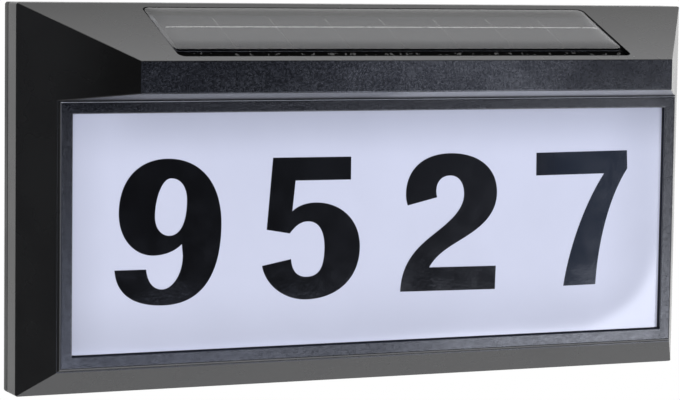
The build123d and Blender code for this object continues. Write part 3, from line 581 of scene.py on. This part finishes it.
def opal_acrylic():
    """Glossy opal acrylic, lit from behind."""
    made, tree, place = new_material("opal_acrylic")
    low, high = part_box("face_panel")
    x, _, z = split(tree, place)
    # A dark seam runs along its foot, where it meets the bezel's sill: the face is painted dark there,
    # without glow or shine
    foot = low.z + panel_grip
    off_seam = ramp(tree, z, foot + seam_edge[0], foot + seam_edge[1], 0, 1)
    # Painted shade of the hood dims the top of the glow, less at the left end; painted light brightens
    # it near the right and bottom edges
    painted_top_level = ramp(tree, x, low.x, low.x + 2 * side_fade, 0.72, 0.46)
    glow = product(
        tree,
        ramp(tree, x, low.x, low.x + side_fade, 0.74, 1),
        ramp(tree, x, high.x - edge_light_rise, high.x, 1, 1.25),
        ramp(tree, z, low.z, low.z + edge_light_rise, 1.45, 1),
        ramp(tree, x, high.x - right_fade, high.x - right_fade / 5, 1, 0.74),
        ramp(tree, z, high.z - hood_shade_fade, high.z, 1, painted_top_level),
        ramp(tree, z, low.z, low.z + bottom_fade, 0.72, 1),
        ramp(tree, grain(tree, place, 60 * mm, 2), 0.3, 0.7, 0.97, 1.03),
        off_seam,
    )
    cloud = grain(tree, place, 20 * mm, 3)
    body = blend_colours(tree, cloud, grey(0.43, face_tint), grey(0.46, face_tint))
    shade_with(
        tree,
        {
            "Base Color": blend_colours(tree, off_seam, grey(0.02, front_tint), body),
            "Roughness": 0.03,
            "Specular IOR Level": product(tree, off_seam, full_shine),
            "IOR": acrylic_ior,
            "Emission Color": scaled(tree, glow_tint, glow),
            "Emission Strength": glow_strength,
            "Normal": bump(tree, grain(tree, place, 50 * mm, 1), 0.02 * mm),
        },
    )
    return made


vinyl_tint = (0.5, 0.8, 1.4)
pale_right_end = (80 * mm, 120 * mm)


def black_vinyl():
    """Satin black film with the faint orange peel of a stuck-down sticker, painted paler and bluer at
    its right as painted light.
    """
    made, tree, place = new_material("black_vinyl")
    x, _, _ = split(tree, place)
    peel = grain(tree, place, 1.6 * mm, 2)
    patches = grain(tree, place, 12 * mm, 2)
    shade = blend_colours(tree, patches, grey(0.003, front_tint), grey(0.006, front_tint))
    painted_pale = ramp(tree, x, *pale_right_end, 0, 1)
    shade_with(
        tree,
        {
            "Base Color": blend_colours(tree, painted_pale, shade, grey(0.020, vinyl_tint)),
            "Roughness": ramp(tree, patches, 0.3, 0.7, 0.05, 0.08),
            "Normal": bump(tree, peel, 0.012 * mm),
            "IOR": plastic_ior,
        },
    )
    return made


# ---------------------------------------------------------------- other materials
# The contact fingers of the cells: their edge is given in shares of the pitch, from their middle.
finger_pitch = 2.0 * mm
finger_edge = (0.03, 0.05)
finger_strength = 0.05
crystal_size = 3 * mm


def silicon():
    """Blue-black solar cells with fine pale contact fingers."""
    made, tree, place = new_material("silicon")
    x, _, _ = split(tree, place)
    wave = maths(tree, "FRACT", maths(tree, "DIVIDE", x, finger_pitch))
    from_finger = maths(tree, "ABSOLUTE", maths(tree, "SUBTRACT", wave, 0.5))
    finger = product(tree, ramp(tree, from_finger, *finger_edge, 1, 0), finger_strength)
    settings = {"Vector": place, "Scale": 1 / crystal_size}
    crystal = node(tree, "TexVoronoi", settings).outputs["Distance"]
    dark = blend_colours(tree, crystal, grey(0.014, (0.9, 0.95, 1.2)), grey(0.018, (0.8, 0.9, 1.5)))
    shade_with(
        tree,
        {
            "Base Color": blend_colours(tree, finger, dark, grey(0.20)),
            "Roughness": ramp(tree, crystal, 0, 1, 0.25, 0.4),
            "Specular IOR Level": 0.15,
            "IOR": plastic_ior,
        },
    )
    return made


def metal(name, dark, light, rough_low, rough_high, brush_size):
    """Metal with fine brushing and cloudy tarnish."""
    made, tree, place = new_material(name)
    cloud = grain(tree, place, 4 * mm, 3)
    brush = grain(tree, place, brush_size, 2)
    cloudy = ramp(tree, cloud, 0.35, 0.65, 0, 1)
    shade_with(
        tree,
        {
            "Base Color": blend_colours(tree, cloudy, grey(dark), grey(light)),
            "Metallic": 1.0,
            "Roughness": ramp(tree, cloud, 0.3, 0.7, rough_low, rough_high),
            "Normal": bump(tree, brush, 0.01 * mm),
        },
    )
    return made


# Along the resin, back from its front edge: where its painted shine and its dust and painted light
# grow, and where the dust and painted light are thickest.
shine_growth = (2 * mm, 7 * mm)
dust_and_light_growth = (2 * mm, 12 * mm)
dust_and_light_full = 20 * mm


def clear_resin():
    """Clear domed resin over the cells, painted paler towards the front with dust and painted light,
    its shine painted dimmer at its front edge, and its front wall painted black as shade.
    """
    made, tree, place = new_material("clear_resin")
    _, y, _ = split(tree, place)
    _, facing_y, _ = facing_parts(tree)
    low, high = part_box("solar_cover")
    painted_shade_wall = ramp(tree, facing_y, -0.78, -0.60, 1, 0)
    ripple = grain(tree, place, 18 * mm, 1)
    haze = grain(tree, place, 6 * mm, 2)
    dust_and_light = product(
        tree,
        ramp(tree, y, high.y, low.y + dust_and_light_full, 0.03, 0.14),
        ramp(tree, y, low.y + dust_and_light_growth[0], low.y + dust_and_light_growth[1], 0.1, 1.0),
    )
    clear = maths(tree, "SUBTRACT", 1.0, dust_and_light)
    shine = ramp(tree, y, low.y + shine_growth[0], low.y + shine_growth[1], 0.36, full_shine)
    resin = blend_colours(tree, haze, grey(0.90), grey(0.96))
    shade_with(
        tree,
        {
            "Base Color": blend_colours(tree, painted_shade_wall, resin, grey(0.002)),
            "Roughness": ramp(tree, haze, 0.3, 0.7, 0.10, 0.16),
            "IOR": plastic_ior,
            "Specular IOR Level": blend_values(tree, painted_shade_wall, shine, 0.05),
            "Transmission Weight": blend_values(tree, painted_shade_wall, clear, 0.0),
            "Normal": bump(tree, ripple, 0.03 * mm),
        },
    )
    return made


def soft_rubber(name, dark, light, roughness, tint=plain_tint):
    """Rubber, foam or insulation: matt, with a fine pebbled surface."""
    made, tree, place = new_material(name)
    pebble = grain(tree, place, 0.6 * mm, 3)
    cloud = grain(tree, place, 8 * mm, 2)
    shade_with(
        tree,
        {
            "Base Color": blend_colours(tree, cloud, grey(dark, tint), grey(light, tint)),
            "Roughness": ramp(tree, pebble, 0.3, 0.7, roughness - 0.06, roughness + 0.06),
            "Normal": bump(tree, pebble, 0.03 * mm),
            "IOR": plastic_ior,
        },
    )
    return made


def black_sealant():
    """Black silicone, dull with dust except where small beads of it still shine."""
    made, tree, place = new_material("black_sealant")
    pebble = grain(tree, place, 0.9 * mm, 3)
    beads = ramp(tree, grain(tree, place, 2.5 * mm, 2), 0.58, 0.66, 0, 1)
    shade_with(
        tree,
        {
            "Base Color": blend_colours(tree, pebble, grey(0.001), grey(0.003)),
            "Roughness": ramp(tree, pebble, 0.3, 0.7, 0.5, 0.6),
            "Coat Weight": beads,
            "Coat Roughness": 0.10,
            "Normal": bump(tree, pebble, 0.25 * mm),
            "IOR": 1.06,
        },
    )
    return made


def circuit_board():
    """Green solder mask with paler tracks under it."""
    made, tree, place = new_material("circuit_board")
    tracks = node(
        tree,
        "TexBrick",
        {
            "Vector": place,
            "Scale": 1 / (12 * mm),
            "Color1": grey(0.04, (0.3, 1.6, 0.7)),
            "Color2": grey(0.055, (0.3, 1.6, 0.7)),
            "Mortar": grey(0.10, (0.4, 1.5, 0.7)),
            "Mortar Size": 0.03,
        },
    ).outputs["Color"]
    weave = grain(tree, place, 0.5 * mm, 1)
    shade_with(
        tree,
        {
            "Base Color": tracks,
            "Roughness": ramp(tree, weave, 0.3, 0.7, 0.30, 0.42),
            "Normal": bump(tree, weave, 0.01 * mm),
            "IOR": plastic_ior,
        },
    )
    return made


# Dark and light level, least and most roughness, size and depth of the grain, and any tint
plastics = {
    "cover_plastic": (0.008, 0.013, 0.36, 0.48, 0.5 * mm, 0.02 * mm),
    "white_plastic": (0.78, 0.82, 0.5, 0.6, 0.5 * mm, 0.02 * mm),
    "holder_plastic": (0.012, 0.018, 0.4, 0.5, 0.5 * mm, 0.02 * mm),
    "light_board": (0.74, 0.80, 0.4, 0.5, 0.5 * mm, 0.01 * mm),
    "led_resin": (0.62, 0.70, 0.2, 0.3, 0.4 * mm, 0.01 * mm, (1.1, 0.95, 0.4)),
    "solar_backing": (0.012, 0.016, 0.35, 0.45, 0.5 * mm, 0.01 * mm),
    "cell_sleeve": (0.20, 0.26, 0.25, 0.35, 1.0 * mm, 0.02 * mm, (0.4, 0.9, 1.6)),
    "component_resin": (0.02, 0.03, 0.35, 0.5, 0.4 * mm, 0.02 * mm),
    "switch_knob": (0.02, 0.03, 0.4, 0.5, 0.4 * mm, 0.02 * mm),
}
# Dark and light level, middle roughness, and any tint
rubbers = {
    "seal_foam": (0.03, 0.05, 0.85),
    "seal_rubber": (0.012, 0.02, 0.6),
    "lead_red": (0.25, 0.32, 0.45, (1.2, 0.12, 0.10)),
}
# Dark and light level, least and most roughness, and size of the brushing
metals = {
    "screw_steel": (0.45, 0.58, 0.22, 0.36, 0.3 * mm),
    "tinned_ribbon": (0.72, 0.86, 0.22, 0.38, 1.5 * mm),
    "nickel_plate": (0.60, 0.70, 0.18, 0.30, 0.3 * mm),
    "switch_metal": (0.50, 0.60, 0.25, 0.40, 0.4 * mm),
}


def make_materials():
    """One material for each slot of the record."""
    made = {
        "housing_plastic": housing_plastic(),
        "bezel_plastic": bezel_plastic(),
        "opal_acrylic": opal_acrylic(),
        "black_vinyl": black_vinyl(),
        "silicon": silicon(),
        "clear_resin": clear_resin(),
        "black_sealant": black_sealant(),
        "circuit_board": circuit_board(),
    }
    for slot, settings in plastics.items():
        made[slot] = moulded_plastic(slot, *settings)
    for slot, settings in rubbers.items():
        made[slot] = soft_rubber(slot, *settings)
    for slot, settings in metals.items():
        made[slot] = metal(slot, *settings)
    return made


def dress_nodes(materials):
    """Give every CAD node the material of its slot."""
    for part in frame["record"]["subparts"]:
        mesh = frame["nodes"][part["node"]].data
        mesh.materials.clear()
        mesh.materials.append(materials[part["material_slot"]])


# ---------------------------------------------------------------- solar panel
# The top bevel, which carries the solar panel, starts in front of the rim and drops to the nose.
rim_depth = 19.4 * mm
nose_drop = 27.6 * mm
sign_depth = -cad_box[0].y
bevel_angle = atan2(nose_drop, sign_depth - rim_depth)


def on_bevel(across, down, lift):
    """A point on the top bevel: across, down the slope from the rim, and out from the surface."""
    return Vector(
        (
            across,
            -rim_depth - down * cos(bevel_angle) - lift * sin(bevel_angle),
            cad_box[1].z - down * sin(bevel_angle) + lift * cos(bevel_angle),
        )
    )


# The recess, the panel in it and the slot in front of the panel, as in the fixed model, and then
# the rounding and the swell of the resin.
recess_width = 262.4 * mm
recess_depth = 3.6 * mm
recess_lip = 5.0 * mm
recess_length = 62.7 * mm
recess_corner = 4.0 * mm
panel_gap = 0.35 * mm
slot_length = 8.2 * mm
board_thickness = 1.2 * mm
sealant_lap = 2.0 * mm
least_gap = 0.02 * mm
dome_edge = 1.93 * mm
dome_crown = 0.85 * mm
dome_width = 8.0 * mm
dome_back_rise = 0.40 * mm
dome_rings = 16
dome_spacing = 1.3
dome_round = 0.3 * mm
dome_round_steps = 4
dome_base = board_thickness - recess_depth - least_gap
outline_corner_steps = 8
outline_side_step = 4 * mm


def rounded_outline(half_wide, half_long, radius):
    """Points around a rectangle with round corners, as many for each size."""
    corners = [(1, 1, 0), (-1, 1, 90), (-1, -1, 180), (1, -1, 270)]

    def on_corner(number, share):
        """A point on the round of one corner, from its start at 0 to its end at 1."""
        side, end, start = corners[number % len(corners)]
        angle = radians(start + 90 * share)
        return (
            side * (half_wide - radius) + radius * cos(angle),
            end * (half_long - radius) + radius * sin(angle),
        )

    points = []
    for number in range(len(corners)):
        for step in range(outline_corner_steps + 1):
            points.append(on_corner(number, step / outline_corner_steps))
        here = points[-1]
        there = on_corner(number + 1, 0)
        run = recess_width if number % 2 == 0 else recess_length
        pieces = int(run / outline_side_step)
        for piece in range(1, pieces):
            share = piece / pieces
            points.append(
                (here[0] + (there[0] - here[0]) * share, here[1] + (there[1] - here[1]) * share)
            )
    return points


def mesh_object(name, shape, body, material):
    """Turn a bmesh into a smooth piece that rides on a body."""
    bmesh.ops.recalc_face_normals(shape, faces=shape.faces)
    mesh = bpy.data.meshes.new(name)
    shape.to_mesh(mesh)
    shape.free()
    for face in mesh.polygons:
        face.use_smooth = True
    mesh.materials.append(material)
    piece = bpy.data.objects.new(name, mesh)
    bpy.context.scene.collection.objects.link(piece)
    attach(piece, body)
    return piece


def ring_loft(shape, rings):
    """Join rings of points, all of one length, into a closed skin."""
    loops = [[shape.verts.new(point) for point in ring] for ring in rings]
    for near, far in zip(loops, loops[1:]):
        for place in range(len(near)):
            following = (place + 1) % len(near)
            shape.faces.new((near[place], near[following], far[following], far[place]))
    shape.faces.new(loops[0][::-1])
    shape.faces.new(loops[-1])


def back_rise(up, half_long):
    """How much higher the resin stands towards its back edge."""
    return dome_back_rise * max(0.0, up / half_long)


def dome_profile():
    """Inset and height of the resin's rings: up its wall, round its edge, and over its swell."""
    edge_height = dome_base + dome_edge
    profile = [(0.0, dome_base), (0.0, edge_height - dome_round)]
    for step in range(1, dome_round_steps):
        turn = radians(90 * step / dome_round_steps)
        profile.append((dome_round * (1 - cos(turn)), edge_height - dome_round * (1 - sin(turn))))
    for ring in range(dome_rings + 1):
        share = (ring / dome_rings) ** dome_spacing
        rise = dome_crown * (1 - (1 - share) ** 2)
        profile.append((dome_round + dome_width * share, edge_height + rise))
    return profile


def make_solar_dome(materials):
    """The clear resin over the cells: low walls, and a swell that rises a little to the back."""
    glaze_length = recess_length - slot_length - panel_gap - sealant_lap
    middle = recess_lip + panel_gap + glaze_length / 2
    half_wide = recess_width / 2 - 2 * panel_gap
    half_long = glaze_length / 2
    corner = recess_corner - panel_gap
    rings = []
    for inset, lift in dome_profile():
        ring = []
        for across, up in rounded_outline(half_wide - inset, half_long - inset, corner):
            ring.append(on_bevel(across, middle - up, lift + back_rise(up, half_long)))
        rings.append(ring)
    shape = bmesh.new()
    ring_loft(shape, rings)
    dome = mesh_object("solar_dome", shape, "sign", materials["clear_resin"])
    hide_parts("solar_cover")


bead_height = 0.85 * mm
bead_step = 0.6 * mm
bead_rows = 16
bead_swell = 0.40 * mm
bead_depth = 0.60 * mm
bead_meniscus = 0.3 * mm
bead_side_gap = 0.05 * mm
board_cover = 0.2 * mm
board_slope = 1 * mm
# Of the lumps: their size across the sign, their waves from panel to lip, and their noise's plane
lumps = (5 * mm, 2.0, 3.7)
small_lumps = (1.8 * mm, 4.0, 9.1)
small_lump_share = 0.6


def lump_noise(across, share, size, waves, plane):
    """Smooth noise over the bead, across the sign and from the panel to the lip."""
    return noise.noise((across / size, share * waves, plane))


def bead_lift(across, share):
    """Height of the sealant over the recess floor: a meniscus at the panel, lumps at the lip."""
    edge = abs(2 * share - 1) ** 4
    large = lump_noise(across, share, *lumps)
    small = lump_noise(across, share, *small_lumps)
    near_lip = share**1.5
    lumpy = bead_swell * near_lip * (large + small_lump_share * small)
    return bead_height + bead_meniscus * edge + lumpy


def make_sealant(materials):
    """The wavy bead of black sealant that fills the slot in front of the solar panel."""
    board_front = recess_lip + recess_length - slot_length
    start = board_front - sealant_lap
    half_wide = recess_width / 2 - bead_side_gap
    columns = int(2 * half_wide / bead_step)
    shape = bmesh.new()
    top = []
    for column in range(columns + 1):
        across = -half_wide + 2 * half_wide * column / columns
        past = max(0.0, abs(across) - (half_wide - recess_corner))
        round_off = recess_corner - max(0.0, recess_corner**2 - past**2) ** 0.5
        length = slot_length + sealant_lap - least_gap - round_off
        row = []
        for place in range(bead_rows + 1):
            share = place / bead_rows
            down = start + length * share
            on_board = min(1.0, max(0.0, (board_front + board_slope - down) / board_slope))
            least_lift = board_thickness * on_board + board_cover
            lift = max(bead_lift(across, share), least_lift) - recess_depth
            row.append(shape.verts.new(on_bevel(across, down, lift)))
        top.append(row)
    sunk = on_bevel(0, 0, -bead_depth) - on_bevel(0, 0, 0)
    floor = [[shape.verts.new(vert.co + sunk) for vert in row] for row in top]
    for column in range(columns):
        left, right = top[column : column + 2]
        left_floor, right_floor = floor[column : column + 2]
        for place in range(bead_rows):
            far = place + 1
            shape.faces.new((left[place], right[place], right[far], left[far]))
            shape.faces.new((left_floor[far], right_floor[far], right_floor[place], left_floor[place]))
        for place in (0, bead_rows):
            shape.faces.new((left[place], left_floor[place], right_floor[place], right[place]))
    for column in (0, columns):
        upper, lower = top[column], floor[column]
        for place in range(bead_rows):
            far = place + 1
            shape.faces.new((upper[place], upper[far], lower[far], lower[place]))
    bead = mesh_object("sealant_bead", shape, "sign", materials["black_sealant"])
    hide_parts("panel_sealant")


# ---------------------------------------------------------------- build
bpy.context.scene.view_settings.view_transform = "Standard"
make_camera()
make_world()
make_floor()
materials = make_materials()
dress_nodes(materials)
make_solar_dome(materials)
make_sealant(materials)
